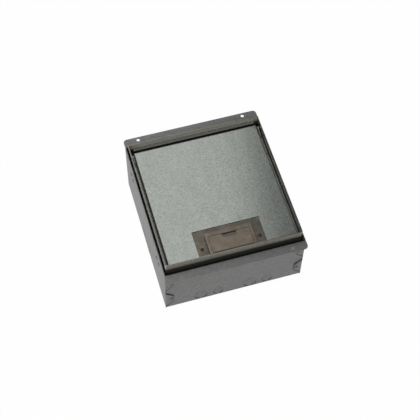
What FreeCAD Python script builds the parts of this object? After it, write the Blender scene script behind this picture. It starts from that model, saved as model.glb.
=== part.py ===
import FreeCAD, Part
import math
import os

# Floor socket box in folded sheet steel: a back box cast into the floor, a trim frame that is levelled
# on four screws, a recessed lid hinged at the rear and a flip door over the cable exit in the lid.
# Frame: millimetres, +Z up, origin at the bottom centre of the box, +Y towards the hinge side.

# ---- back box -------------------------------------------------------------------------------------
box_width = 304.8  # over the side plates
box_depth = 330.2  # over the front and rear walls
box_height = 147.0  # floor of the box to the top of the screw flanges
box_sheet = 1.6
box_bend = 1.6  # inside radius of the wrapper's bends
flange_depth = 19.05  # screw flange, wall face to free edge
flange_corner = 8.0
flange_hole_d = 7.5
flange_hole_spacing = 240.0  # across the box
flange_hole_out = 11.5  # wall face to hole centre
corner_gap = 0.5  # wrapper end to side plate, the inside bend radius of the ears
ear_reach = 18.0  # how far an ear laps over the wall, from the side plate's outer face
ear_height = 58.0
ear_corner = 6.0
ear_centres = (110.0, 39.0)  # heights of the two ears' middles

# ---- knockouts ------------------------------------------------------------------------------------
knockout_large = 28.2  # 3/4 inch conduit
knockout_small = 22.2  # 1/2 inch conduit
knockout_height = 21.0  # underside of the box to knockout centre
knockout_pitch = 38.5  # large centre to small centre in a pair
knockout_pair_x = 55.0  # middle of a pair from the centre line, front and rear walls
knockout_web = 7.0  # uncut bridge at the foot of each disc
knockout_bridge = 2.5  # height of that bridge
knockout_flush = 0.2  # what stands out at the top of a disc
knockout_proud = 1.1  # and at its foot

# ---- trim frame -----------------------------------------------------------------------------------
frame_side_gap = 4.7  # side plate's outer face to the frame
frame_end_gap = 10.6  # front and rear walls' outer faces to the frame
frame_sheet = 1.6
frame_height = 40.0
frame_corner = 2.4
rim_stand = 20.3  # rim above the screw flanges at rest
recess = 12.7  # rim to lid surface, the depth of floor finish
ledge_width = 13.0
rail_sheet = 1.6
rail_bend = 0.8

# ---- levelling gear -------------------------------------------------------------------------------
level_from_end = 46.5  # frame's front or rear face to the screw axes
level_inset = 19.1  # frame wall's inner face to screw axis
screw_d = 6.35
screw_length = 46.0  # under the head
screw_head_d = 12.0
screw_head_height = 3.4
screw_slot = 1.4
lug_half = 11.0
lug_edge = 9.0  # screw axis to the lug's free end
fit_running = 0.05  # radial clearance of shafts in holes
fit_thread = 0.02  # the same between a screw and its nut
fit_press = 0.01  # the same for pins pressed or riveted in
screw_hole_gap = 0.4
ring_d = 11.0
ring_thick = 0.8
axial_play = 0.1
travel_down = 7.62
bracket_drop = 30.0  # top of the flanges to the top of the brackets
bracket_width = 30.0
bracket_leg = 13.0
bracket_sheet = 2.0
bracket_end = 10.0  # screw axis to the bracket's free end
nut_flats = 11.1
nut_height = 5.6

# ---- lid ------------------------------------------------------------------------------------------
lid_gap_side = 5.8
lid_gap_front = 2.0
lid_gap_rear = 11.6
lid_sheet = 2.4
lid_skirt = 8.0  # lid surface to the skirt's free edge
lid_bend = 1.6
lid_slit = 0.8  # cut at each corner between two skirts
seal_thick = 1.3
seal_width = 6.0
seal_gap = 0.3
pivot_d = 4.0
pivot_inset = 8.0  # lid's rear edge to the pivot axis
pivot_down = 4.8  # lid surface to the pivot axis
pivot_ear_sheet = 2.0
pivot_ear_gap = 0.7
pivot_ear_radius = 3.7
pivot_ear_root = 14.0  # length of the ear's foot along the ledge
pivot_head_d = 8.0
pivot_head = 1.5
rail_rear_gap = 9.3  # pivot axis to the end of the side ledges, clear of the lid's rear edge
rib_x = 84.0
rib_crown = 16.0
rib_height = 11.0
rib_foot = 9.0
rib_sheet = 1.6
rib_front = -68.0
rib_rear = 116.0

# ---- cable exit -----------------------------------------------------------------------------------
module_width = 146.4
module_depth = 65.0
module_fit = 0.4
tray_sheet = 1.6
tray_lap = 8.0
base_sheet = 1.2
collar_width = 100.0
collar_depth = 48.5
collar_below_rim = 1.0
collar_side = 6.0  # rim of the collar beside the door
collar_rear = 9.0
collar_corner = 1.5
collar_bevel = 0.5
seat_width = 5.0
door_thick = 4.2
door_edge = 0.3  # broken edge at the rear
door_gap = 0.6
door_seat_gap = 0.3
door_pin_d = 2.4
door_pin_grip = 4.0
door_pin_play = 0.2  # end of the pin to the end of its bore
finger_width = 31.0
finger_depth = 10.0
finger_corner = 5.0
finger_floor = 1.0
finger_lip = 1.6
finger_undercut = 1.4
module_screw_spacing = 124.6
module_screw_y = 20.3  # lid's front edge to the screws
module_screw_d = 4.2
module_screw_gap = 0.4
module_head_d = 7.4
module_head = 2.6
module_head_bevel = 1.0
module_slot = 1.1
module_screw_length = 9.0
module_nut_flats = 8.0
module_nut = 3.2

# ---- sockets and their covers ---------------------------------------------------------------------
cover_sheet = 1.2
cover_bend = 1.2
cover_clear = 4.48  # under the tips of the levelling screws with the frame right down
cover_reach = 46.0  # side plate to the edge of the cover's top
cover_slope = 13.0  # how far the panel leans out towards its foot
cover_foot = 13.0
cover_lip = 9.0
cover_end_gap = 0.3  # past the bends of the box
device_y = 66.0  # middle of each device from the centre line
device_pitch = 38.9  # between the two faces of a receptacle
face_radius = 16.2
face_flat = 13.6  # half length of a face along the strap
face_gap = 0.4
face_stand = 2.2
strap_length = 100.0
strap_width = 22.0
strap_thick = 1.4
body_length = 72.0
body_width = 33.0
body_depth = 22.0
slot_depth = 9.0
face_cut = 5.0  # half the depth of the cuts through a cover and a strap
blade_pitch = 12.7
neutral_length = 7.9
neutral_width = 2.1
live_length = 6.4
live_width = 1.9
earth_hole_d = 4.8
earth_hole_x = 9.2  # blade slots' middle to the earth hole
jack_pitch = 24.0
jack_width = 16.4
jack_height = 14.6
jack_depth = 18.0
port_width = 12.0
port_height = 8.2
port_depth = 12.0
jack_proud = 0.8
jack_corner = 0.6
latch_half = 3.2
latch_wall = 1.2
earth_from_wall = 14.5  # rear wall's inner face to the earthing stud
earth_stud_d = 4.8
earth_stud = 12.0
earth_flats = 8.0
earth_nut = 4.0

# ---- derived levels and faces ---------------------------------------------------------------------
frame_width = box_width - 2 * frame_side_gap
frame_depth = box_depth - 2 * frame_end_gap
level_y = frame_depth / 2 - level_from_end
rim_z = box_height + rim_stand
lid_z = rim_z - recess
skirt_z = lid_z - lid_skirt
ledge_z = skirt_z - seal_gap - seal_thick
frame_in_x = frame_width / 2 - frame_sheet
frame_in_y = frame_depth / 2 - frame_sheet
lid_x = frame_in_x - lid_gap_side
lid_front = -frame_in_y + lid_gap_front
lid_rear = frame_in_y - lid_gap_rear
pivot_y = lid_rear - pivot_inset
pivot_z = lid_z - pivot_down
screw_x = frame_in_x - level_inset
under_lid = lid_z - lid_sheet
lowest_tip = ledge_z + axial_play - screw_length - travel_down
cover_top = lowest_tip - cover_clear
collar_z = rim_z - collar_below_rim
box_in_x = box_width / 2 - box_sheet
box_in_y = box_depth / 2 - box_sheet
earth_y = box_in_y - earth_from_wall


def vec(axis, a, b, c):
    """Point from two in-plane coordinates and the one along the axis."""
    return {
        "x": FreeCAD.Vector(c, a, b),
        "y": FreeCAD.Vector(a, c, b),
        "z": FreeCAD.Vector(a, b, c),
    }[axis]


def outline(axis, points, at):
    """Closed face from corners (a, b, radius), with each corner rounded by its radius."""
    edges = []
    ends = []
    count = len(points)
    for i, (a, b, radius) in enumerate(points):
        here = vec(axis, a, b, at)
        if radius <= 0:
            ends.append((here, None, here))
            continue
        before = vec(axis, *points[i - 1][:2], at) - here
        after = vec(axis, *points[(i + 1) % count][:2], at) - here
        before.normalize()
        after.normalize()
        half = before.getAngle(after) / 2
        reach = radius / math.tan(half)
        middle = before + after
        middle.normalize()
        bulge = here + middle * (radius / math.sin(half) - radius)
        ends.append((here + before * reach, bulge, here + after * reach))
    for i, (start, bulge, end) in enumerate(ends):
        if bulge:
            edges.append(Part.Arc(start, bulge, end).toShape())
        following = ends[(i + 1) % count][0]
        if end.distanceToPoint(following) > 1e-6:
            edges.append(Part.makeLine(end, following))
    return Part.Face(Part.Wire(edges))


def prism(axis, points, start, length):
    """Solid with a rounded outline, pushed along an axis."""
    return outline(axis, points, start).extrude(vec(axis, 0, 0, length))


def rect(a0, a1, b0, b1, radius=0.0):
    return [(a0, b0, radius), (a1, b0, radius), (a1, b1, radius), (a0, b1, radius)]


def folded(path, sheet, bend):
    """Outline of a folded sheet: the path runs along its middle, each corner gets the bend."""
    left, right = [], []
    count = len(path)
    for i, (a, b) in enumerate(path):
        before = (path[i][0] - path[i - 1][0], path[i][1] - path[i - 1][1]) if i else None
        after = (path[i + 1][0] - a, path[i + 1][1] - b) if i < count - 1 else None
        before = before or after
        after = after or before
        angle_in = math.atan2(before[1], before[0])
        turn = math.atan2(after[1], after[0]) - angle_in
        turn = math.atan2(math.sin(turn), math.cos(turn))
        normal = angle_in + turn / 2 + math.pi / 2
        mitre = sheet / 2 / math.cos(turn / 2)
        shift = (mitre * math.cos(normal), mitre * math.sin(normal))
        inside, outside = (0.0, 0.0) if abs(turn) < 1e-6 else (bend, bend + sheet)
        radii = (inside, outside) if turn > 0 else (outside, inside)
        left.append((a + shift[0], b + shift[1], radii[0]))
        right.append((a - shift[0], b - shift[1], radii[1]))
    return left + right[::-1]


def box(x0, x1, y0, y1, z0, z1):
    return Part.makeBox(x1 - x0, y1 - y0, z1 - z0, FreeCAD.Vector(x0, y0, z0))


def cylinder(axis, diameter, a, b, start, length):
    return Part.makeCylinder(diameter / 2, length, vec(axis, a, b, start), vec(axis, 0, 0, 1))


def hexagon(flats, x, y, z, height):
    corner = flats / math.sqrt(3)
    turns = [math.radians(60 * i) for i in range(6)]
    return prism("z", [(x + corner * math.cos(t), y + corner * math.sin(t), 0) for t in turns], z, height)


def joined(first, *others):
    return first.fuse(list(others)).removeSplitter()


def mirrored(shape, normal):
    return shape.mirror(FreeCAD.Vector(), FreeCAD.Vector(*normal))


def bevelled(solid, size, side, level):
    """Chamfers the edges that lie in one end face: side is the BoundBox value that equals level there."""
    edges = [e for e in solid.Edges if abs(getattr(e.BoundBox, side) - level) < 1e-4]
    return solid.makeChamfer(size, edges)


def group(solids):
    return Part.makeCompound(solids)


def write(name, shape):
    shape.exportStep("parts/" + name + ".step")


def strike_knockout(wall, centre, outward, diameter):
    """Half-shears a disc: it leans out of the wall, furthest at its foot, where a bridge stays uncut."""
    outward = FreeCAD.Vector(*outward)
    centre = FreeCAD.Vector(*centre)
    across = outward.cross(FreeCAD.Vector(0, 0, 1))
    radius = diameter / 2
    lean = math.degrees(math.atan2(knockout_proud - knockout_flush, diameter))
    wedge = Part.makeCylinder(radius, knockout_proud, centre, outward)
    pivot = centre + FreeCAD.Vector(0, 0, radius) + outward * knockout_flush
    cutter = Part.makeBox(2 * diameter, diameter, 3 * diameter)
    cutter.Placement = FreeCAD.Placement(
        pivot - across * diameter - FreeCAD.Vector(0, 0, 2 * diameter),
        FreeCAD.Rotation(across, outward, FreeCAD.Vector(0, 0, 1), "XYZ"),
    )
    cutter.rotate(pivot, across, lean)
    wedge = wedge.cut(cutter)
    bridge = Part.makeBox(knockout_web, 4 * knockout_proud, 2 * knockout_bridge)
    bridge.Placement = FreeCAD.Placement(
        centre - across * (knockout_web / 2) - outward * knockout_proud
        - FreeCAD.Vector(0, 0, radius + knockout_bridge),
        FreeCAD.Rotation(across, outward, FreeCAD.Vector(0, 0, 1), "XYZ"),
    )
    wedge = wedge.cut(bridge)
    dent = wedge.copy()
    dent.translate(outward * -box_sheet)
    return wall.fuse(wedge).cut(dent)


def wall_knockouts(wall, place, outward, pair_middles):
    """Pairs of knockouts along a wall, each pair a large one and a small one."""
    for middle in pair_middles:
        for step, diameter in ((-0.5, knockout_large), (0.5, knockout_small)):
            wall = strike_knockout(wall, place(middle + step * knockout_pitch), outward, diameter)
    return wall


def make_back_box():
    half_y, top = box_depth / 2, box_height - box_sheet / 2
    wall_y = half_y - box_sheet / 2
    bend_end = half_y + box_bend
    path = [(-bend_end, top), (-wall_y, top), (-wall_y, box_sheet / 2)]
    path += [(-a, b) for a, b in reversed(path)]
    length = box_width - 2 * (box_sheet + corner_gap)
    wrapper = prism("x", folded(path, box_sheet, box_bend), -length / 2, length)
    half_x, edge_y = box_width / 2, half_y + flange_depth
    flange = prism(
        "z",
        [(-half_x, bend_end, 0), (half_x, bend_end, 0), (half_x, edge_y, flange_corner),
         (-half_x, edge_y, flange_corner)],
        box_height - box_sheet,
        box_sheet,
    )
    for side in (-1, 1):
        flange = flange.cut(
            cylinder("z", flange_hole_d, side * flange_hole_spacing / 2, half_y + flange_hole_out,
                     box_height - 2 * box_sheet, 3 * box_sheet)
        )
    shell = joined(wrapper, flange, mirrored(flange, (0, 1, 0)))
    for side in (-1, 1):
        shell = wall_knockouts(
            shell, lambda along: (along, side * half_y, knockout_height), (0, side, 0),
            (-knockout_pair_x, knockout_pair_x),
        )
    return shell


def make_side_plate(side):
    """Side plate with bevelled ears folded over the front and rear walls. side is -1 or 1."""
    half_x, half_y = box_width / 2, box_depth / 2
    mid_x, mid_y = half_x - box_sheet / 2, half_y + box_sheet / 2
    path = [(side * (half_x - ear_reach), -mid_y), (side * mid_x, -mid_y)]
    path += [(a, -b) for a, b in reversed(path)]
    channel = prism("z", folded(path, box_sheet, corner_gap), 0, box_height)
    x0, x1 = sorted((side * half_x, side * (half_x - box_sheet)))
    keep = [box(x0, x1, -half_y, half_y, 0, box_height)]
    for middle in ear_centres:
        low, high = middle - ear_height / 2, middle + ear_height / 2
        tip = side * (half_x - ear_reach)
        shape = [(side * half_x, low, 0), (tip, low + ear_reach, ear_corner),
                 (tip, high - ear_reach, ear_corner), (side * half_x, high, 0)]
        keep.append(prism("y", shape, -half_y - 2 * box_sheet, box_depth + 4 * box_sheet))
    plate = channel.common(keep[0].fuse(keep[1:])).removeSplitter()
    return wall_knockouts(
        plate, lambda along: (side * half_x, along, knockout_height), (side, 0, 0), (0,)
    )


def make_levelling_bracket(side, y):
    """Angle bracket on the side plate, its flat top drilled for the levelling screw."""
    top = box_height - bracket_drop
    wall = box_in_x
    path = [(side * (wall - bracket_sheet / 2), top - bracket_leg),
            (side * (wall - bracket_sheet / 2), top - bracket_sheet / 2),
            (side * (screw_x - bracket_end), top - bracket_sheet / 2)]
    angle = prism("y", folded(path, bracket_sheet, bracket_sheet), y - bracket_width / 2, bracket_width)
    hole_d = screw_d + 2 * screw_hole_gap
    return angle.cut(cylinder("z", hole_d, side * screw_x, y, top - 2 * bracket_sheet, 3 * bracket_sheet))


def make_weld_nut(side, y):
    base = box_height - bracket_drop - bracket_sheet - nut_height
    return make_nut(side * screw_x, y, base, nut_flats, nut_height, screw_d, fit_running)


def make_levelling_screw(side, y):
    """Slotted pan-head screw and the push-on ring that holds it in the ledge."""
    x = side * screw_x
    under_head = ledge_z + axial_play
    head = cylinder("z", screw_head_d, x, y, under_head, screw_head_height)
    tip = under_head - screw_length
    shank = cylinder("z", screw_d, x, y, tip, screw_length)
    slot_floor = under_head + screw_head_height * 0.5
    reach = screw_head_d
    screw = joined(head, shank).cut(
        box(x - reach, x + reach, y - screw_slot / 2, y + screw_slot / 2, slot_floor, slot_floor + reach)
    )
    ring_top = ledge_z - rail_sheet - axial_play
    ring = cylinder("z", ring_d, x, y, ring_top - ring_thick, ring_thick).cut(
        cylinder("z", screw_d + 2 * fit_press, x, y, ring_top - 2 * ring_thick, 3 * ring_thick)
    )
    return group([screw, ring])


def make_trim_ring():
    base = rim_z - frame_height
    half_x, half_y = frame_width / 2, frame_depth / 2
    outer = prism("z", rect(-half_x, half_x, -half_y, half_y, frame_corner), base, frame_height)
    inner_corner = frame_corner - frame_sheet
    inner = prism("z", rect(-frame_in_x, frame_in_x, -frame_in_y, frame_in_y, inner_corner),
                  base - 1, frame_height + 2)
    return outer.cut(inner)


def rail_profile(wall, inward):
    """Ledge angle seen on its end: a flat ledge and a leg down the frame's wall."""
    base = rim_z - frame_height
    leg = wall + inward * rail_sheet / 2
    top = ledge_z - rail_sheet / 2
    return folded([(leg, base), (leg, top), (wall + inward * ledge_width, top)], rail_sheet, rail_bend)


def make_side_rail(side):
    """Side ledge with lugs for two levelling screws and an upright ear for the lid's pivot."""
    wall = side * frame_in_x
    front = -frame_in_y + ledge_width + module_fit
    rear = pivot_y - rail_rear_gap
    rail = prism("y", rail_profile(wall, -side), front, rear - front)
    tip = side * (screw_x - lug_edge)
    root = side * (frame_in_x - ledge_width + 1)
    for y in (-level_y, level_y):
        shape = [(root, y - lug_half, 0), (tip, y - lug_half, lug_half * 0.7),
                 (tip, y + lug_half, lug_half * 0.7), (root, y + lug_half, 0)]
        rail = joined(rail, prism("z", shape, ledge_z - rail_sheet, rail_sheet))
        hole_d = screw_d + 2 * screw_hole_gap
        rail = rail.cut(cylinder("z", hole_d, side * screw_x, y, ledge_z - 2 * rail_sheet, 3 * rail_sheet))
    near = lid_x + pivot_ear_gap
    x0, x1 = sorted((side * near, side * (near + pivot_ear_sheet)))
    foot = rear - pivot_ear_root
    low, high = ledge_z - rail_sheet, pivot_z + pivot_ear_radius
    end = pivot_y + pivot_ear_radius
    neck = pivot_z - pivot_ear_radius
    ear = prism(
        "x",
        [(foot, low, 0), (rear, low, 0), (rear + 2, neck, 0), (end, neck, pivot_ear_radius * 0.95),
         (end, high, pivot_ear_radius * 0.95), (foot + 6, high, 3), (foot, ledge_z + 2, 1)],
        x0,
        x1 - x0,
    )
    ear = ear.cut(cylinder("x", pivot_d + 2 * fit_press, pivot_y, pivot_z, x0 - 1, pivot_ear_sheet + 2))
    return joined(rail, ear)


def make_front_rail():
    half = frame_in_x - frame_corner
    return prism("x", rail_profile(-frame_in_y, 1), -half, 2 * half)


def make_lid_seal():
    """Rubber strips on the ledges, under the skirt of the lid."""
    rear = pivot_y - rail_rear_gap - 15
    front = lid_front
    side_x = lid_x + 0.3
    strips = [box(-side_x, side_x, front, front + seal_width, ledge_z, ledge_z + seal_thick)]
    for side in (-1, 1):
        x0, x1 = sorted((side * side_x, side * (side_x - seal_width)))
        strips.append(box(x0, x1, front + seal_width, rear, ledge_z, ledge_z + seal_thick))
    return joined(*strips)


def make_lid_pin(side):
    """Pin riveted in the frame's ear; the lid's skirt turns on it between the two ears."""
    ear_out = lid_x + pivot_ear_gap + pivot_ear_sheet
    end = lid_x - lid_sheet - 1.0
    shank = cylinder("x", pivot_d, pivot_y, pivot_z, end, ear_out - end)
    head = cylinder("x", pivot_head_d, pivot_y, pivot_z, ear_out, pivot_head)
    pin = joined(shank, head)
    return pin if side > 0 else mirrored(pin, (1, 0, 0))


def make_lid_pan():
    """Lid plate with its four edges bent down, corner slits and the recess for the cable exit."""
    def shell(inset, height, radius):
        solid = box(-lid_x + inset, lid_x - inset, lid_front + inset, lid_rear - inset, skirt_z, height)
        top = [e for e in solid.Edges if e.BoundBox.ZMin > height - 0.01]
        return solid.makeFillet(radius, top)

    pan = shell(0, lid_z, lid_bend + lid_sheet)
    hollow = shell(lid_sheet, under_lid, lid_bend)
    hollow = hollow.fuse(box(-lid_x + lid_sheet, lid_x - lid_sheet, lid_front + lid_sheet,
                             lid_rear - lid_sheet, skirt_z - 1, skirt_z + 1))
    pan = pan.cut(hollow)
    for x in (-lid_x, lid_x):
        for y in (lid_front, lid_rear):
            inner_x, inner_y = x - math.copysign(lid_sheet, x), y - math.copysign(lid_sheet, y)
            x0, x1 = sorted((x * 1.01, inner_x + math.copysign(lid_slit, x)))
            y0, y1 = sorted((inner_y, inner_y + math.copysign(lid_slit, y)))
            pan = pan.cut(box(x0, x1, y0, y1, skirt_z - 1, under_lid - lid_bend))
    half = module_width / 2
    rear = lid_front + module_depth
    pan = pan.cut(box(-half, half, lid_front - 1, rear, under_lid, lid_z + 1))
    hole_d = pivot_d + 2 * fit_running
    return pan.cut(cylinder("x", hole_d, pivot_y, pivot_z, -box_width, 2 * box_width))


def make_lid_ribs():
    """Two hat-section stiffeners welded under the lid, running front to rear."""
    ribs = []
    low, high = under_lid - rib_height + rib_sheet / 2, under_lid - rib_sheet / 2
    for side in (-1, 1):
        x = side * rib_x
        crown, foot = rib_crown / 2, rib_crown / 2 + rib_foot
        path = [(x - foot, high), (x - crown, high), (x - crown, low)]
        path += [(2 * x - a, b) for a, b in reversed(path)]
        ribs.append(prism("y", folded(path, rib_sheet, rib_sheet), rib_front, rib_rear - rib_front))
    return group(ribs)


def cable_opening(low, high):
    """Through opening inside the collar, between two levels."""
    half = collar_width / 2 - collar_side - seat_width
    front = lid_front + collar_side
    rear = lid_front + collar_depth - collar_rear - seat_width
    return prism("z", rect(-half, half, front, rear, 2), low, high - low)


def module_plate(half_x, front, rear, top, sheet, corner=0.0):
    plate = prism("z", rect(-half_x, half_x, front, rear, corner), top - sheet, sheet)
    plate = plate.cut(cable_opening(top - 2 * sheet, top + sheet))
    for side in (-1, 1):
        x, y = side * module_screw_spacing / 2, lid_front + module_screw_y
        plate = plate.cut(cylinder("z", module_screw_d + module_screw_gap, x, y, top - 2 * sheet, 3 * sheet))
    return plate


def make_module_tray():
    front = lid_front + lid_sheet + lid_bend + module_fit
    rear = lid_front + module_depth + tray_lap
    return module_plate(module_width / 2 + tray_lap, front, rear, under_lid, tray_sheet)


def make_module_base():
    return module_plate(module_width / 2 - module_fit, lid_front, lid_front + module_depth - module_fit,
                        under_lid + base_sheet, base_sheet)


def make_cable_collar():
    """Raised collar round the cable exit, rebated for the flip door and open at its front."""
    base = under_lid + base_sheet
    half, rear = collar_width / 2, lid_front + collar_depth
    seat = collar_z - door_thick - door_seat_gap
    body = prism("z", [(-half, lid_front, collar_corner), (half, lid_front, collar_corner),
                       (half, rear, collar_corner), (-half, rear, collar_corner)], base, collar_z - base)
    body = bevelled(body, collar_bevel, "ZMin", collar_z)
    body = body.cut(cable_opening(base - 1, collar_z + 1))
    pocket_half = half - collar_side
    body = body.cut(box(-pocket_half, pocket_half, lid_front - 1, rear - collar_rear, seat, collar_z + 1))
    return body.cut(cylinder("x", door_pin_d + 2 * fit_press, *door_axis(), -box_width, 2 * box_width))


def door_axis():
    return lid_front + door_gap + door_thick / 2, collar_z - door_thick / 2


def make_door_pin(side):
    outer, inner = collar_width / 2, collar_width / 2 - collar_side - door_pin_grip
    pin = cylinder("x", door_pin_d, *door_axis(), inner, outer - inner)
    return pin if side > 0 else mirrored(pin, (1, 0, 0))


def make_cable_door():
    """Flip door: a plate with a round front edge at its pins and a finger recess at its rear edge."""
    half = collar_width / 2 - collar_side - door_gap
    front, rear = lid_front + door_gap, lid_front + collar_depth - collar_rear - door_gap
    low = collar_z - door_thick
    nose = door_thick / 2 - fit_press
    side_view = [(front, low, nose), (rear, low, door_edge), (rear, collar_z, door_edge),
                 (front, collar_z, nose)]
    door = prism("x", side_view, -half, 2 * half)
    floor = low + finger_floor
    side = finger_width / 2
    inner = rear - finger_depth
    recess = [(-side, inner, finger_corner), (side, inner, finger_corner)]
    recess += [(side, rear + 1, 0), (-side, rear + 1, 0)]
    door = door.cut(prism("z", recess, floor, door_thick))
    lip = box(-side + finger_corner, side - finger_corner, inner - finger_undercut, inner + 1,
              floor, collar_z - finger_lip)
    door = door.cut(lip)
    axis = door_axis()
    bore = door_pin_grip + door_pin_play
    for start in (-half - 1, half - bore):
        door = door.cut(cylinder("x", door_pin_d + 2 * fit_running, *axis, start, bore + 1))
    return door


def make_module_screws():
    """Slotted screws that hold the base plate and the tray to each other."""
    seat, y = under_lid + base_sheet, lid_front + module_screw_y
    screws = []
    for side in (-1, 1):
        x = side * module_screw_spacing / 2
        head = bevelled(cylinder("z", module_head_d, x, y, seat, module_head), module_head_bevel, "ZMin",
                        seat + module_head)
        shank = cylinder("z", module_screw_d, x, y, seat - module_screw_length, module_screw_length)
        slot = box(x - module_head_d, x + module_head_d, y - module_slot / 2, y + module_slot / 2,
                   seat + module_head / 2, seat + 2 * module_head)
        screws.append(joined(head, shank).cut(slot))
    return group(screws)


def make_module_nuts():
    base = under_lid - tray_sheet - module_nut
    y = lid_front + module_screw_y
    places = [side * module_screw_spacing / 2 for side in (-1, 1)]
    return group([make_nut(x, y, base, module_nut_flats, module_nut, module_screw_d) for x in places])


# ---- covers over the wiring, and what they carry --------------------------------------------------
cover_corner = (box_in_x - cover_reach, cover_top - cover_sheet / 2)
cover_heel = (cover_corner[0] - cover_slope, box_sheet + cover_sheet / 2)
panel_run = (cover_corner[0] - cover_heel[0], cover_corner[1] - cover_heel[1])
panel_lean = math.atan2(panel_run[0], panel_run[1])
panel_mid = ((cover_corner[0] + cover_heel[0]) / 2, (cover_corner[1] + cover_heel[1]) / 2)


def on_panel(shape, y=0.0):
    """Takes a shape from the panel's own frame (X along the box, Y up the panel, Z out of its middle
    towards the well) to its place on the cover at +X."""
    up = FreeCAD.Vector(math.sin(panel_lean), 0, math.cos(panel_lean))
    out = FreeCAD.Vector(-math.cos(panel_lean), 0, math.sin(panel_lean))
    along = up.cross(out)
    placed = shape.copy()
    turn = FreeCAD.Rotation(along, up, out, "XYZ")
    placed.Placement = FreeCAD.Placement(FreeCAD.Vector(panel_mid[0], y, panel_mid[1]), turn).multiply(
        placed.Placement
    )
    return placed


def make_cover(cutters):
    """Folded cover that closes off the wiring space along one side plate."""
    length = 2 * (box_in_y - box_bend - cover_end_gap)
    lip_x = box_in_x - cover_sheet / 2
    path = [(lip_x, cover_top + cover_lip), (lip_x, cover_corner[1]), cover_corner, cover_heel,
            (cover_heel[0] - cover_foot, cover_heel[1])]
    cover = prism("y", folded(path, cover_sheet, cover_bend), -length / 2, length)
    for cutter in cutters:
        cover = cover.cut(cutter)
    return cover


def face_outline(radius, flat):
    """Receptacle face: a circle with its two ends along the strap cut flat."""
    disc = Part.makeCylinder(radius, 2 * body_depth, FreeCAD.Vector(0, 0, -body_depth))
    return disc.common(box(-flat, flat, -radius, radius, -body_depth, body_depth))


def between(shape, low, high):
    reach = strap_length
    return shape.common(box(-reach, reach, -reach, reach, low, high))


def power_cutters():
    cutters = []
    for y in (-device_y, device_y):
        for step in (-0.5, 0.5):
            hole = face_outline(face_radius + face_gap, face_flat + face_gap)
            hole.translate(FreeCAD.Vector(step * device_pitch, 0, 0))
            cutters.append(on_panel(between(hole, -face_cut, face_cut), y))
    return cutters


def data_cutters():
    cutters = []
    half_x, half_y = (jack_pitch + jack_width) / 2 + face_gap, jack_height / 2 + face_gap
    for y in (-device_y, device_y):
        window = rect(-half_x, half_x, -half_y, half_y, jack_corner)
        cutters.append(on_panel(prism("z", window, -face_cut, 2 * face_cut), y))
    return cutters


def make_receptacle():
    """Duplex receptacle in the panel's own frame: strap behind the panel, two faces through it."""
    back = -cover_sheet / 2
    strap = prism("z", rect(-strap_length / 2, strap_length / 2, -strap_width / 2, strap_width / 2),
                  back - strap_thick, strap_thick)
    body = prism("z", rect(-body_length / 2, body_length / 2, -body_width / 2, body_width / 2),
                 back - strap_thick - body_depth, body_depth)
    parts = [body]
    front = cover_sheet / 2 + face_stand
    for step in (-0.5, 0.5):
        face = between(face_outline(face_radius, face_flat), back - strap_thick, front)
        face.translate(FreeCAD.Vector(step * device_pitch, 0, 0))
        parts.append(face)
    device = joined(strap, *parts)
    floor = front - slot_depth
    neutral = (blade_pitch / 2, neutral_length / 2, neutral_width / 2)
    live = (-blade_pitch / 2, live_length / 2, live_width / 2)
    for step in (-0.5, 0.5):
        x = step * device_pitch
        for y, long, wide in (neutral, live):
            device = device.cut(box(x - long, x + long, y - wide, y + wide, floor, front + 1))
        device = device.cut(cylinder("z", earth_hole_d, x - earth_hole_x, 0, floor, slot_depth + 1))
    return device


def make_data_strap():
    """Steel strap behind the panel with a window for two jacks."""
    back = -cover_sheet / 2
    half = strap_length / 2
    strap = prism("z", rect(-half, half, -strap_width / 2, strap_width / 2), back - strap_thick, strap_thick)
    for step in (-0.5, 0.5):
        x = step * jack_pitch
        window = rect(x - jack_width / 2, x + jack_width / 2, -jack_height / 2, jack_height / 2)
        strap = strap.cut(prism("z", window, back - 2 * strap_thick, 3 * strap_thick))
    return strap


def make_jack(x):
    """Modular jack snapped in the strap: a stepped port at the front, a block behind."""
    front = cover_sheet / 2 + jack_proud
    half_x, half_y = jack_width / 2 - fit_running, jack_height / 2 - fit_running
    block = rect(x - half_x, x + half_x, -half_y, half_y, jack_corner)
    block = prism("z", block, front - jack_depth, jack_depth)
    port = box(x - port_width / 2, x + port_width / 2, -port_height / 2, port_height / 2,
               front - port_depth, front + 1)
    latch = box(x - latch_half, x + latch_half, latch_wall - half_y, 0, front - port_depth, front + 1)
    return block.cut(port.fuse(latch))


def make_nut(x, y, seat, flats, height, thread, fit=fit_thread):
    nut = hexagon(flats, x, y, seat, height)
    return nut.cut(cylinder("z", thread + 2 * fit, x, y, seat - 1, height + 2))


def make_earthing_stud():
    """Welded stud in the floor of the well with the nut that clamps the earthing lead."""
    stud = cylinder("z", earth_stud_d, 0, earth_y, box_sheet, earth_stud)
    return group([stud, make_nut(0, earth_y, box_sheet, earth_flats, earth_nut, earth_stud_d)])


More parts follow.
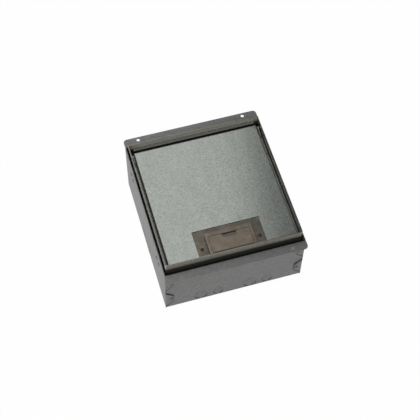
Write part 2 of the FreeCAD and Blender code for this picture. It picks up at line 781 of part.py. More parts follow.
def main():
    os.makedirs("parts", exist_ok=True)
    both = (-1, 1)
    corners = [(side, y) for y in (-level_y, level_y) for side in both]

    write("back_box", make_back_box())
    write("side_plate_left", make_side_plate(-1))
    write("side_plate_right", make_side_plate(1))
    write("levelling_brackets", group([make_levelling_bracket(*c) for c in corners]))
    write("weld_nuts", group([make_weld_nut(*c) for c in corners]))

    mirror_x = (1, 0, 0)
    rows = (-device_y, device_y)
    write("power_cover", mirrored(make_cover(power_cutters()), mirror_x))
    write("data_cover", make_cover(data_cutters()))
    write("power_receptacles", group([mirrored(on_panel(make_receptacle(), y), mirror_x) for y in rows]))
    write("data_straps", group([on_panel(make_data_strap(), y) for y in rows]))
    write("data_jacks", group([on_panel(make_jack(s * jack_pitch / 2), y) for y in rows for s in both]))
    write("earthing_stud", make_earthing_stud())

    write("trim_ring", make_trim_ring())
    write("ledge_rail_left", make_side_rail(-1))
    write("ledge_rail_right", make_side_rail(1))
    write("ledge_rail_front", make_front_rail())
    write("lid_seal", make_lid_seal())
    write("lid_pivot_pins", group([make_lid_pin(side) for side in both]))
    for (side, y), name in zip(corners, ("front_left", "front_right", "rear_left", "rear_right")):
        write("levelling_screw_" + name, make_levelling_screw(side, y))

    write("lid_pan", make_lid_pan())
    write("lid_ribs", make_lid_ribs())
    write("module_tray", make_module_tray())
    write("module_base", make_module_base())
    write("cable_collar", make_cable_collar())
    write("module_screws", make_module_screws())
    write("module_nuts", make_module_nuts())
    write("door_pins", group([make_door_pin(side) for side in both]))
    write("cable_door", make_cable_door())


main()
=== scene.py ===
import math

import bpy
from mathutils import Matrix, Vector


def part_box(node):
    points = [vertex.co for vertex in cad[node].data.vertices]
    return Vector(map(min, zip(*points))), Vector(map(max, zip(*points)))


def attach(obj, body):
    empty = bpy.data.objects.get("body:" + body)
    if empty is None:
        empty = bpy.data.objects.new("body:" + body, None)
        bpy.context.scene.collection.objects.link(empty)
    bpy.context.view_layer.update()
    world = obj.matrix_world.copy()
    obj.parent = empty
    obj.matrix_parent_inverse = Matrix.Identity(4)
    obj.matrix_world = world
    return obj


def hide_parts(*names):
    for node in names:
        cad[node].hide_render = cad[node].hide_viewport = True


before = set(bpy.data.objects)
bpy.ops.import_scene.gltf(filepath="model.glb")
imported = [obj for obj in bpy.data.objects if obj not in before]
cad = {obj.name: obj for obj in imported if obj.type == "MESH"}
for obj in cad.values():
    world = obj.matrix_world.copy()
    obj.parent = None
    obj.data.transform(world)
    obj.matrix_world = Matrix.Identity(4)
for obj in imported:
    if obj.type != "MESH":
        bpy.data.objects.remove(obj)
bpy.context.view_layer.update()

MM = 0.001


# ---- Back box ---------------------------------------------------------------------------------------
# The wrapper that makes floor, front wall, rear wall and both screw flanges, and the two side plates
# whose ears are spot welded over it. All are hot-dip galvanised sheet, sheared and folded cold, with
# knockouts half sheared in a press.

def srgb(code):
    """Linear colour of a hex code such as "9a9c98"."""
    values = [int(code[i:i + 2], 16) / 255 for i in (0, 2, 4)]
    return [v / 12.92 if v <= 0.04045 else ((v + 0.055) / 1.055) ** 2.4 for v in values] + [1.0]


def add(tree, kind, inputs=None, **settings):
    """Adds a node. An input is a value or the socket that feeds it, keyed by name or number."""
    node = tree.nodes.new(kind)
    for name, value in settings.items():
        setattr(node, name, value)
    for key, value in (inputs or {}).items():
        if isinstance(value, bpy.types.NodeSocket):
            tree.links.new(value, node.inputs[key])
        else:
            node.inputs[key].default_value = value
    return node


def blank_material(name):
    """New material with one Principled shader. Returns the material, its tree and the shader."""
    material = bpy.data.materials.new(name)
    material.use_nodes = True
    tree = material.node_tree
    return material, tree, tree.nodes["Principled BSDF"]


def ramp(tree, factor, stops):
    """Colour ramp over (position, hex code) stops."""
    node = add(tree, "ShaderNodeValToRGB", {"Fac": factor})
    bands = node.color_ramp.elements
    while len(bands) < len(stops):
        bands.new(0.5)
    for band, (position, code) in zip(bands, stops):
        band.position = position
        band.color = srgb(code)
    return node.outputs["Color"]


def blend_colour(tree, factor, a, b):
    node = add(tree, "ShaderNodeMix", {0: factor, 6: a, 7: b}, data_type="RGBA")
    return node.outputs[2]


def remap(tree, value, low, high, to_low, to_high):
    node = add(tree, "ShaderNodeMapRange", {0: value, 1: low, 2: high, 3: to_low, 4: to_high})
    return node.outputs[0]


def scaled(tree, value, factor):
    return add(tree, "ShaderNodeMath", {0: value, 1: factor}, operation="MULTIPLY").outputs[0]


def wear(material, *nodes):
    """Gives CAD nodes their material."""
    for node in nodes:
        cad[node].data.materials.clear()
        cad[node].data.materials.append(material)


def galvanised(name, light, middle, dark, spangle, streak, lowest, highest, metallic):
    """Hot-dip galvanised sheet: zinc crystals a few millimetres wide, each a little lighter or darker
    and shinier or duller than the next, over cloudy patches and long rolling streaks."""
    material, tree, shader = blank_material(name)
    place = add(tree, "ShaderNodeTexCoord").outputs["Object"]
    warp = add(tree, "ShaderNodeTexNoise", {"Vector": place, "Scale": 1 / (1.6 * spangle), "Detail": 3.0})
    offset = add(tree, "ShaderNodeVectorMath", {0: warp.outputs["Color"], 1: (0.5, 0.5, 0.5)},
                 operation="SUBTRACT")
    nudged = add(tree, "ShaderNodeVectorMath", {0: offset.outputs[0], 3: 1.4 * spangle}, operation="SCALE")
    ragged = add(tree, "ShaderNodeVectorMath", {0: place, 1: nudged.outputs[0]}, operation="ADD")
    crystal = add(tree, "ShaderNodeTexVoronoi", {"Vector": ragged.outputs[0], "Scale": 1 / spangle})
    fleck = add(tree, "ShaderNodeTexVoronoi", {"Vector": ragged.outputs[0], "Scale": 1.3 / spangle})
    tone = add(tree, "ShaderNodeSeparateColor", {0: crystal.outputs["Color"]})
    cloud = add(tree, "ShaderNodeTexNoise", {"Vector": place, "Scale": 11.0, "Detail": 5.0, "Roughness": 0.6})
    long_way = add(tree, "ShaderNodeMapping", {"Vector": place, "Scale": streak})
    rolled = add(tree, "ShaderNodeTexNoise", {"Vector": long_way.outputs[0], "Scale": 60.0, "Detail": 4.0})
    body = ramp(tree, tone.outputs[0], [(0.0, dark), (0.35, middle), (1.0, light)])
    clouded = blend_colour(tree, remap(tree, cloud.outputs[0], 0.3, 0.75, 0.0, 0.55), body, srgb(middle))
    streaked = blend_colour(tree, remap(tree, rolled.outputs[0], 0.35, 0.75, 0.0, 0.30), clouded, srgb(dark))
    pits = remap(tree, fleck.outputs["Distance"], 0.0, 0.22, 0.55, 0.0)
    tree.links.new(blend_colour(tree, pits, streaked, srgb(dark)), shader.inputs["Base Color"])
    tree.links.new(remap(tree, tone.outputs[1], 0.0, 1.0, lowest, highest), shader.inputs["Roughness"])
    bump = add(tree, "ShaderNodeBump", {"Height": crystal.outputs["Distance"], "Strength": 0.05,
                                       "Distance": 0.1 * MM})
    tree.links.new(bump.outputs[0], shader.inputs["Normal"])
    shader.inputs["Metallic"].default_value = metallic
    return material


wall_zinc = galvanised("galvanised_wall_sheet", "8a8b89", "80817f", "727371", 3.0 * MM, (0.12, 0.12, 1.6),
                       0.42, 0.55, 0.45)
wear(wall_zinc, "back_box", "side_plate_left", "side_plate_right")


# ---- Knockout shear lines ---------------------------------------------------------------------------
# Each knockout disc is pushed out at its foot, so the zinc cracks along both lower arcs and shows a
# dark line of bare steel there. A bridge of whole sheet stays between the two arcs.

def plan(name, *sizes):
    """New geometry tree over a cloud of points, with named sizes in metres and a material. Returns the
    tree and its input sockets."""
    tree = bpy.data.node_groups.new(name, "GeometryNodeTree")
    tree.interface.new_socket("Geometry", in_out="INPUT", socket_type="NodeSocketGeometry")
    tree.interface.new_socket("Material", in_out="INPUT", socket_type="NodeSocketMaterial")
    for label in sizes:
        tree.interface.new_socket(label, in_out="INPUT", socket_type="NodeSocketFloat")
    tree.interface.new_socket("Geometry", in_out="OUTPUT", socket_type="NodeSocketGeometry")
    return tree, add(tree, "NodeGroupInput").outputs


def moved(tree, shape, x=0.0, y=0.0, z=0.0, turn=(0, 0, 0), size=(1, 1, 1)):
    """Shape turned, sized and then moved. Each coordinate is a value or a socket."""
    place = add(tree, "ShaderNodeCombineXYZ", {0: x, 1: y, 2: z})
    node = add(tree, "GeometryNodeTransform", {"Geometry": shape, "Translation": place.outputs[0],
                                               "Rotation": turn, "Scale": size})
    return node.outputs[0]


def merged(tree, *shapes):
    node = add(tree, "GeometryNodeJoinGeometry")
    for shape in reversed(shapes):
        tree.links.new(shape, node.inputs[0])
    return node.outputs[0]


def set_on_points(tree, source, unit):
    """Ends a tree: one unit on every point, its Z along the point's facing and its X along its run."""
    facing = add(tree, "GeometryNodeInputNamedAttribute", {"Name": "facing"}, data_type="FLOAT_VECTOR")
    run = add(tree, "GeometryNodeInputNamedAttribute", {"Name": "run"}, data_type="FLOAT_VECTOR")
    tilt = add(tree, "FunctionNodeAlignRotationToVector", {"Vector": facing.outputs[0]}, axis="Z")
    turn = add(tree, "FunctionNodeAlignRotationToVector", {"Rotation": tilt.outputs[0],
                                                          "Vector": run.outputs[0]}, axis="X", pivot_axis="Z")
    units = add(tree, "GeometryNodeInstanceOnPoints", {"Points": source["Geometry"], "Instance": unit,
                                                      "Rotation": turn.outputs[0]})
    real = add(tree, "GeometryNodeRealizeInstances", {"Geometry": units.outputs[0]})
    corner = add(tree, "GeometryNodeInputMeshEdgeAngle")
    sharp = add(tree, "ShaderNodeMath", {0: corner.outputs[0], 1: math.radians(35)}, operation="GREATER_THAN")
    smooth = add(tree, "GeometryNodeSetShadeSmooth", {"Geometry": real.outputs[0], "Shade Smooth": True},
                 domain="FACE")
    crisp = add(tree, "GeometryNodeSetShadeSmooth", {"Geometry": smooth.outputs[0],
                                                    "Selection": sharp.outputs[0], "Shade Smooth": False},
                domain="EDGE")
    dressed = add(tree, "GeometryNodeSetMaterial", {"Geometry": crisp.outputs[0],
                                                   "Material": source["Material"]})
    add(tree, "NodeGroupOutput", {0: dressed.outputs[0]})


def grown(name, tree, points, body, material, edges=(), **sizes):
    """Runs a tree over (place, facing, run) points and keeps the result as a plain mesh on a body."""
    mesh = bpy.data.meshes.new(name)
    mesh.from_pydata([point[0] for point in points], edges, [])
    for column, label in ((1, "facing"), (2, "run")):
        values = mesh.attributes.new(label, "FLOAT_VECTOR", "POINT").data
        for value, point in zip(values, points):
            value.vector = point[column]
    piece = bpy.data.objects.new(name, mesh)
    bpy.context.scene.collection.objects.link(piece)
    modifier = piece.modifiers.new("growth", "NODES")
    modifier.node_group = tree
    sockets = {item.name: item.identifier for item in tree.interface.items_tree if item.in_out == "INPUT"}
    modifier[sockets["Material"]] = material
    for label, value in sizes.items():
        modifier[sockets[label]] = value
    ready = piece.evaluated_get(bpy.context.evaluated_depsgraph_get())
    result = bpy.data.meshes.new_from_object(ready)
    piece.modifiers.clear()
    piece.data = result
    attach(piece, body)
    return piece


tree, source = plan("shear_line_pair", "radius", "line", "web")
half_gap = add(tree, "ShaderNodeMath", {0: source["web"], 1: source["radius"]}, operation="DIVIDE").outputs[0]
arcs = []
for side in (-1, 1):
    start = add(tree, "ShaderNodeMath", {0: scaled(tree, half_gap, 0.5 * side), 1: math.radians(-90)},
                operation="ADD").outputs[0]
    arc = add(tree, "GeometryNodeCurveArc", {"Resolution": 14, "Radius": source["radius"],
                                            "Start Angle": start, "Sweep Angle": side * math.radians(62)})
    along = add(tree, "GeometryNodeSplineParameter").outputs[0]
    taper = remap(tree, along, 0.55, 1.0, 1.0, 0.15)
    thinned = add(tree, "GeometryNodeSetCurveRadius", {0: arc.outputs[0], "Radius": taper})
    section = add(tree, "GeometryNodeCurvePrimitiveCircle", {"Resolution": 6,
                                                             "Radius": scaled(tree, source["line"], 0.5)})
    arcs.append(add(tree, "GeometryNodeCurveToMesh", {0: thinned.outputs[0], 1: section.outputs[0],
                                                     "Fill Caps": True}).outputs[0])
set_on_points(tree, source, merged(tree, *arcs))
disc_flush, disc_proud = 0.2 * MM, 1.1 * MM
disc_pitch, disc_z = 38.5 * MM, 21.0 * MM
front_face, rear_face = -165.1 * MM, 165.1 * MM
left_face, right_face = -152.4 * MM, 152.4 * MM
# Dark grey of bare steel in the knockout cracks; the same dark also makes the painted shade lines along the
# ears' edges.
crack_and_shade_dark, tree, shader = blank_material("bare_steel_cracks_and_painted_shade")
place = add(tree, "ShaderNodeTexCoord").outputs["Object"]
grain = add(tree, "ShaderNodeTexNoise", {"Vector": place, "Scale": 900.0, "Detail": 3.0})
tree.links.new(ramp(tree, grain.outputs[0], [(0.3, "3b3b38"), (0.7, "565653")]), shader.inputs["Base Color"])
tree.links.new(remap(tree, grain.outputs[0], 0.3, 0.7, 0.55, 0.75), shader.inputs["Roughness"])
shader.inputs["Metallic"].default_value = 0.3
pair_middle = 55.0 * MM
middle_stand = (disc_flush + disc_proud) / 2 + 0.15 * MM
side_stand = -0.15 * MM
for kind, radius, shift in (("large", 14.1 * MM, -0.5), ("small", 11.1 * MM, 0.5)):
    along = shift * disc_pitch
    lean = (disc_proud - disc_flush) / (2 * radius)
    places = []
    for out in (-1, 1):
        face = front_face if out < 0 else rear_face
        for middle in (-pair_middle, pair_middle):
            places.append(((middle + along, face + out * middle_stand, disc_z), (0, out, lean),
                           (-out, 0, 0)))
        face = left_face if out < 0 else right_face
        places.append(((face + out * side_stand, along, disc_z), (out, 0, lean), (0, out, 0)))
    piece = grown("shear_lines_" + kind, bpy.data.node_groups["shear_line_pair"], places, "box",
                  crack_and_shade_dark, radius=radius - 0.2 * MM, line=1.5 * MM, web=7.0 * MM)


# ---- Sheared edges of the ears ----------------------------------------------------------------------
# A thin dark tube runs along both slanted edges of each ear and stands off the face: painted shade
# for the gap under the ears' edges.

tree, source = plan("painted_edge_shade", "width")
outline = add(tree, "GeometryNodeMeshToCurve", {0: source["Geometry"]}).outputs[0]
section = add(tree, "GeometryNodeCurvePrimitiveCircle", {"Resolution": 6,
                                                         "Radius": scaled(tree, source["width"], 0.5)})
painted_edge_shade = add(tree, "GeometryNodeCurveToMesh", {0: outline, 1: section.outputs[0], "Fill Caps": True})
real = add(tree, "GeometryNodeRealizeInstances", {"Geometry": painted_edge_shade.outputs[0]})
dressed = add(tree, "GeometryNodeSetMaterial", {"Geometry": real.outputs[0], "Material": source["Material"]})
add(tree, "NodeGroupOutput", {0: dressed.outputs[0]})

ear_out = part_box("side_plate_left")[1].y
ear_feet = (10.0 * MM, 81.0 * MM)
ear_outline = ((151.8, 0.6), (136.6, 15.8), (134.9, 18.4), (134.6, 21.5), (134.6, 36.5), (134.9, 39.6),
               (136.6, 42.2), (151.8, 57.4))
straight_tip = 3
corners, edges = [], []
for side in (-1, 1):
    for end in (-1, 1):
        for foot in ear_feet:
            first = len(corners)
            for x, z in ear_outline:
                corners.append(((side * x * MM, end * (ear_out + 0.1 * MM), foot + z * MM), (0, 0, 1),
                                (1, 0, 0)))
            edges += [(first + i, first + i + 1) for i in range(len(ear_outline) - 1) if i != straight_tip]
# Painted shade: dark tubes along the ears' slanted edges.
piece = grown("ear_shade_lines", bpy.data.node_groups["painted_edge_shade"], corners, "box", crack_and_shade_dark, edges,
              width=1.1 * MM)


# ---- Spot welds -------------------------------------------------------------------------------------
# One electrode mark holds each ear to the wall under it, and two hold each levelling bracket to its
# side plate: a shallow ring of squeezed zinc, scorched darker, round a small flat.

tree, source = plan("spot_weld", "radius", "ridge")
ring = add(tree, "GeometryNodeCurvePrimitiveCircle", {"Resolution": 24, "Radius": source["radius"]})
section = add(tree, "GeometryNodeCurvePrimitiveCircle", {"Resolution": 8, "Radius": source["ridge"]})
ridge = add(tree, "GeometryNodeCurveToMesh", {0: ring.outputs[0], 1: section.outputs[0]}).outputs[0]
flat = add(tree, "GeometryNodeMeshCylinder", {"Vertices": 24, "Radius": source["radius"],
                                             "Depth": source["ridge"]}).outputs[0]
set_on_points(tree, source, merged(tree, ridge, flat))

scorched, tree, shader = blank_material("scorched_zinc")
place = add(tree, "ShaderNodeTexCoord").outputs["Object"]
burn = add(tree, "ShaderNodeTexNoise", {"Vector": place, "Scale": 260.0, "Detail": 4.0})
centre = ramp(tree, burn.outputs[0], [(0.35, "5a5955"), (0.52, "7c7b77"), (0.66, "8a8a86")])
normal = add(tree, "ShaderNodeSeparateXYZ", {0: add(tree, "ShaderNodeNewGeometry").outputs["Normal"]})
upright = [add(tree, "ShaderNodeMath", {0: normal.outputs[i]}, operation="ABSOLUTE").outputs[0]
           for i in (0, 1)]
facing = add(tree, "ShaderNodeMath", {0: upright[0], 1: upright[1]}, operation="MAXIMUM").outputs[0]
tree.links.new(blend_colour(tree, remap(tree, facing, 0.75, 0.97, 0.0, 1.0), srgb("262624"), centre),
               shader.inputs["Base Color"])
tree.links.new(remap(tree, burn.outputs[0], 0.3, 0.7, 0.60, 0.45), shader.inputs["Roughness"])
shader.inputs["Metallic"].default_value = 0.4
low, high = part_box("levelling_brackets")
ear_weld_x, ear_weld_heights = 138.9 * MM, (39.5 * MM, 110.0 * MM)
bracket_y, bracket_weld_reach = 108.0 * MM, 8.0 * MM
marks = []
for side in (-1, 1):
    for end in (-1, 1):
        for height in ear_weld_heights:
            marks.append(((side * ear_weld_x, end * ear_out, height), (0, end, 0), (1, 0, 0)))
        for out in (-bracket_weld_reach, bracket_weld_reach):
            marks.append(((side * right_face, end * bracket_y + out, (low.z + high.z) / 2),
                          (side, 0, 0), (0, 1, 0)))
piece = grown("spot_welds", bpy.data.node_groups["spot_weld"], marks, "box", scorched, radius=3.9 * MM,
              ridge=0.7 * MM)


# ---- Levelling gear ---------------------------------------------------------------------------------
# Four angle brackets welded to the side plates, a weld nut under each, and four slotted screws that
# hang in the frame's ledges. All are bright zinc-plated steel.

def plated(name, light, dark, roughness, metallic=0.8):
    """Zinc-plated pressing: a thin even plating with a cloudy bloom and fine handling scratches."""
    material, tree, shader = blank_material(name)
    place = add(tree, "ShaderNodeTexCoord").outputs["Object"]
    bloom = add(tree, "ShaderNodeTexNoise", {"Vector": place, "Scale": 40.0, "Detail": 6.0, "Roughness": 0.65})
    scratch = add(tree, "ShaderNodeTexNoise", {"Vector": place, "Scale": 700.0, "Detail": 2.0,
                                               "Distortion": 1.5})
    colour = ramp(tree, remap(tree, bloom.outputs[0], 0.3, 0.7, 0.0, 1.0), [(0.0, dark), (1.0, light)])
    tree.links.new(colour, shader.inputs["Base Color"])
    rough = remap(tree, scratch.outputs[0], 0.3, 0.7, roughness - 0.07, roughness + 0.09)
    tree.links.new(rough, shader.inputs["Roughness"])
    bump = add(tree, "ShaderNodeBump", {"Height": scratch.outputs[0], "Strength": 0.08, "Distance": 0.05 * MM})
    tree.links.new(bump.outputs[0], shader.inputs["Normal"])
    shader.inputs["Metallic"].default_value = metallic
    return material


pressing_zinc = plated("zinc_plated_pressing", "8f9290", "6f716f", 0.42, 0.6)
fastener_zinc = plated("bright_zinc_fastener", "a9acae", "868a8c", 0.30)
wear(pressing_zinc, "levelling_brackets")
wear(fastener_zinc, "weld_nuts")

tree, source = plan("levelling_screw", "length", "thread", "pitch", "head", "head height", "slot", "ring",
                    "ring drop")
core = scaled(tree, source["thread"], 0.41)
shank = add(tree, "GeometryNodeMeshCylinder", {"Vertices": 24, "Radius": core, "Depth": source["length"]})
shank = moved(tree, shank.outputs[0], z=scaled(tree, source["length"], 0.5))
turns = add(tree, "ShaderNodeMath", {0: source["length"], 1: source["pitch"]}, operation="DIVIDE").outputs[0]
whole = add(tree, "ShaderNodeMath", {0: turns, 1: 1.0}, operation="SUBTRACT").outputs[0]
rise = add(tree, "ShaderNodeMath", {0: whole, 1: source["pitch"]}, operation="MULTIPLY").outputs[0]
helix = add(tree, "GeometryNodeCurveSpiral", {"Resolution": 20, "Rotations": whole, "Start Radius": core,
                                             "End Radius": core, "Height": rise})
crest = add(tree, "GeometryNodeCurvePrimitiveCircle", {"Resolution": 4,
                                                       "Radius": scaled(tree, source["thread"], 0.085)})
thread = add(tree, "GeometryNodeCurveToMesh", {0: helix.outputs[0], 1: crest.outputs[0], "Fill Caps": True})
thread = moved(tree, thread.outputs[0], z=scaled(tree, source["pitch"], 0.5))
blank = add(tree, "GeometryNodeMeshCylinder", {"Vertices": 40, "Radius": scaled(tree, source["head"], 0.5),
                                              "Depth": source["head height"]})
ball = add(tree, "GeometryNodeMeshUVSphere", {"Segments": 40, "Rings": 40,
                                             "Radius": scaled(tree, source["head"], 0.78)})
drop = add(tree, "ShaderNodeMath", {0: scaled(tree, source["head height"], 0.5),
                                   1: scaled(tree, source["head"], -0.78)}, operation="ADD").outputs[0]
ball = moved(tree, ball.outputs[0], z=drop)
domed = add(tree, "GeometryNodeMeshBoolean", {1: blank.outputs[0]}, operation="INTERSECT")
tree.links.new(ball, domed.inputs[1])
bar = add(tree, "ShaderNodeCombineXYZ", {0: scaled(tree, source["head"], 2.0), 1: source["slot"],
                                        2: source["head height"]})
bar = add(tree, "GeometryNodeMeshCube", {"Size": bar.outputs[0]})
bar = moved(tree, bar.outputs[0], z=scaled(tree, source["head height"], 0.55))
slotted = add(tree, "GeometryNodeMeshBoolean", {0: domed.outputs[0], 1: bar}, operation="DIFFERENCE")
slotted = moved(tree, slotted.outputs[0], z=add(tree, "ShaderNodeMath", {
    0: source["length"], 1: scaled(tree, source["head height"], 0.5)}, operation="ADD").outputs[0])
groove = add(tree, "GeometryNodeCurvePrimitiveCircle", {"Resolution": 32,
                                                        "Radius": scaled(tree, source["ring"], 0.40)})
lip = add(tree, "GeometryNodeCurvePrimitiveQuadrilateral", {0: scaled(tree, source["ring"], 0.17),
                                                            1: 0.8 * MM})
clip = add(tree, "GeometryNodeCurveToMesh", {0: groove.outputs[0], 1: lip.outputs[0]}).outputs[0]
clip = moved(tree, clip, z=add(tree, "ShaderNodeMath", {0: source["length"], 1: source["ring drop"]},
                               operation="SUBTRACT").outputs[0])
set_on_points(tree, source, merged(tree, shank, thread, slotted, clip))

head_height = 3.4 * MM
for corner in ("front_left", "front_right", "rear_left", "rear_right"):
    low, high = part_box("levelling_screw_" + corner)
    middle = (low + high) / 2
    under_head = high.z - head_height
    foot = (middle.x, middle.y, low.z)
    screw = grown("threaded_screw_" + corner, bpy.data.node_groups["levelling_screw"],
                  [(foot, (0, 0, 1), (1, 0, 0))], "screw_" + corner, fastener_zinc,
                  **{"length": under_head - low.z, "thread": 6.35 * MM, "pitch": 1.27 * MM,
                     "head": high.x - low.x, "head height": head_height, "slot": 1.4 * MM, "ring": 11.0 * MM,
                     "ring drop": 2.2 * MM})
    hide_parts("levelling_screw_" + corner)


# ---- Sockets and their covers -----------------------------------------------------------------------
# Two folded covers close off the wiring along the side plates. The left one holds two receptacles
# moulded in ivory nylon, the right one two steel straps with a pair of black network jacks each.

def moulded(name, colour, darker, roughness):
    """Moulded plastic: one colour with a faint cloud and the fine grain of the tool."""
    material, tree, shader = blank_material(name)
    place = add(tree, "ShaderNodeTexCoord").outputs["Object"]
    grain = add(tree, "ShaderNodeTexNoise", {"Vector": place, "Scale": 1400.0, "Detail": 2.0})
    cloud = add(tree, "ShaderNodeTexNoise", {"Vector": place, "Scale": 25.0, "Detail": 3.0})
    tone = blend_colour(tree, remap(tree, cloud.outputs[0], 0.3, 0.7, 0.0, 1.0), srgb(colour), srgb(darker))
    tree.links.new(tone, shader.inputs["Base Color"])
    tree.links.new(remap(tree, grain.outputs[0], 0.3, 0.7, roughness - 0.05, roughness + 0.05),
                   shader.inputs["Roughness"])
    bump = add(tree, "ShaderNodeBump", {"Height": grain.outputs[0], "Strength": 0.12, "Distance": 0.03 * MM})
    tree.links.new(bump.outputs[0], shader.inputs["Normal"])
    return material


wear(pressing_zinc, "power_cover", "data_cover", "data_straps")
wear(fastener_zinc, "earthing_stud")
wear(moulded("ivory_nylon", "d9d2bd", "cfc7b0", 0.32), "power_receptacles")
wear(moulded("black_polycarbonate", "1d1d1f", "151517", 0.40), "data_jacks")


# ---- Trim frame -------------------------------------------------------------------------------------
# A ring of sheet steel on edge, folded from one strip and welded at a corner, with ledge angles inside
# that carry the lid. Its cut upper edge has lost its zinc and gone brown. A small angle behind the lid
# fills the gap that the hinge leaves. The end faces are shaded duller than the side faces, and the
# foot darker, to stand in for the shadow in the narrow gap round the frame.

frame_zinc = galvanised("zinc_frame_strip", "d6d3c6", "c9c6b9", "a9a699", 2.2 * MM, (0.3, 0.3, 2.2), 0.15,
                        0.25, 0.90)
rim_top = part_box("trim_ring")[1].z
tree = frame_zinc.node_tree
shader = tree.nodes["Principled BSDF"]
place = add(tree, "ShaderNodeTexCoord").outputs["Object"]
height = add(tree, "ShaderNodeSeparateXYZ", {0: place}).outputs[2]
at_edge = remap(tree, height, rim_top - 0.7 * MM, rim_top - 0.1 * MM, 0.0, 0.8)
zinc = shader.inputs["Base Color"].links[0].from_socket
# Painted shade: the strip darkens towards its foot, in place of the shadow in the gap round the frame.
at_foot = remap(tree, height, rim_top - 20.0 * MM, rim_top - 12.0 * MM, 0.85, 0.0)
foot_painted_shade = blend_colour(tree, at_foot, zinc, srgb("24221d"))
tree.links.new(blend_colour(tree, at_edge, foot_painted_shade, srgb("625c4c")), shader.inputs["Base Color"])
normal = add(tree, "ShaderNodeSeparateXYZ", {0: add(tree, "ShaderNodeNewGeometry").outputs["Normal"]})
on_end = add(tree, "ShaderNodeMath", {0: normal.outputs[1]}, operation="ABSOLUTE").outputs[0]
tree.links.new(remap(tree, on_end, 0.4, 0.8, 0.92, 0.12), shader.inputs["Metallic"])
wear(frame_zinc, "trim_ring")
wear(pressing_zinc, "ledge_rail_left", "ledge_rail_right", "ledge_rail_front")
wear(fastener_zinc, "lid_pivot_pins")

strip_zinc = galvanised("zinc_filler_strip", "a3a6a2", "979a96", "858884", 2.6 * MM, (0.2, 1.0, 1.0), 0.18,
                        0.28, 0.60)
wall_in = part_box("trim_ring")[1].y - 1.6 * MM
sheet, reach, leg, top = 1.6 * MM, 7.4 * MM, 10.0 * MM, 154.0 * MM
profile = [(wall_in, top - leg), (wall_in, top), (wall_in - reach, top), (wall_in - reach, top - sheet),
           (wall_in - sheet, top - sheet), (wall_in - sheet, top - leg)]
half = 137.0 * MM
mesh = bpy.data.meshes.new("rear_filler_angle")
count = len(profile)
mesh.from_pydata([(x, y, z) for x in (-half, half) for y, z in profile], [],
                 [(i, (i + 1) % count, count + (i + 1) % count, count + i) for i in range(count)]
                 + [tuple(reversed(range(count))), tuple(range(count, 2 * count))])
angle = bpy.data.objects.new("rear_filler_angle", mesh)
bpy.context.scene.collection.objects.link(angle)
mesh.materials.append(strip_zinc)
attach(angle, "trim_frame")


# ---- Lid seal ---------------------------------------------------------------------------------------
# Flat extruded rubber strip stuck on the ledges under the lid's skirt.

wear(moulded("black_seal_rubber", "161616", "0f0f0f", 0.7), "lid_seal")


# ---- Lid --------------------------------------------------------------------------------------------
# A pan of galvanised plate with its edges bent down, stiffened by two hat sections underneath. It lies
# below the rim to take the floor finish and turns on two pins at the rear.

lid_zinc = galvanised("galvanised_lid_plate", "a4a8a2", "999d97", "878b85", 2.6 * MM, (1.0, 0.25, 1.0), 0.16,
                      0.25, 0.80)
wear(lid_zinc, "lid_pan")
wear(pressing_zinc, "lid_ribs", "module_tray")


# ---- Cable exit -------------------------------------------------------------------------------------
# A base plate let into the lid carries a collar with a flip door. They are coated warm grey, and two
# round-head brass screws hold them down.

def coated(name, light, dark, rub, edge):
    """Satin metallic coating, brushed across, its upward broken edges lighter from wear and painted highlight.
    """
    material, tree, shader = blank_material(name)
    place = add(tree, "ShaderNodeTexCoord").outputs["Object"]
    cloud = add(tree, "ShaderNodeTexNoise", {"Vector": place, "Scale": 55.0, "Detail": 6.0, "Roughness": 0.6})
    brush = add(tree, "ShaderNodeMapping", {"Vector": place, "Scale": (0.08, 1.0, 1.0)})
    lines = add(tree, "ShaderNodeTexNoise", {"Vector": brush.outputs[0], "Scale": 900.0, "Detail": 2.0})
    colour = ramp(tree, remap(tree, cloud.outputs[0], 0.3, 0.7, 0.0, 1.0),
                  [(0.0, dark), (0.6, light), (1.0, rub)])
    steep = add(tree, "ShaderNodeSeparateXYZ", {0: add(tree, "ShaderNodeNewGeometry").outputs["Normal"]})
    # Bevels that slope upwards take the lighter edge colour: partly edge wear, partly painted highlight.
    wear_and_highlight_tilt = remap(tree, steep.outputs[2], 0.97, 0.80, 0.0, 1.0)
    broken = remap(tree, steep.outputs[2], 0.30, 0.50, 0.0, 1.0)
    edge_wear_and_highlight = blend_colour(tree, scaled(tree, wear_and_highlight_tilt, broken), colour, srgb(edge))
    tree.links.new(edge_wear_and_highlight, shader.inputs["Base Color"])
    tree.links.new(remap(tree, lines.outputs[0], 0.3, 0.7, 0.30, 0.46), shader.inputs["Roughness"])
    bump = add(tree, "ShaderNodeBump", {"Height": lines.outputs[0], "Strength": 0.08, "Distance": 0.04 * MM})
    tree.links.new(bump.outputs[0], shader.inputs["Normal"])
    shader.inputs["Metallic"].default_value = 0.55
    return material


# The last colour of each coat is for its upward edges: edge wear with painted highlight, palest on the collar.
wear(coated("warm_grey_base_plate", "69645a", "57524a", "7b7467", "8a8273"), "module_base")
wear(coated("warm_grey_collar", "776e61", "675f54", "857b6f", "cfc6ba"), "cable_collar")
door_coat = coated("warm_grey_door", "7f7466", "73685b", "8b8072", "a89d8f")
door_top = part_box("cable_door")[1].z
tree = door_coat.node_tree
shader = tree.nodes["Principled BSDF"]
place = add(tree, "ShaderNodeTexCoord").outputs["Object"]
depth = add(tree, "ShaderNodeSeparateXYZ", {0: place}).outputs[2]
sunk = remap(tree, depth, door_top - 0.6 * MM, door_top - 1.2 * MM, 0.0, 1.0)
coat = shader.inputs["Base Color"].links[0].from_socket
tree.links.new(blend_colour(tree, sunk, coat, srgb("63625e")), shader.inputs["Base Color"])
wear(door_coat, "cable_door")
wear(fastener_zinc, "module_nuts", "door_pins")

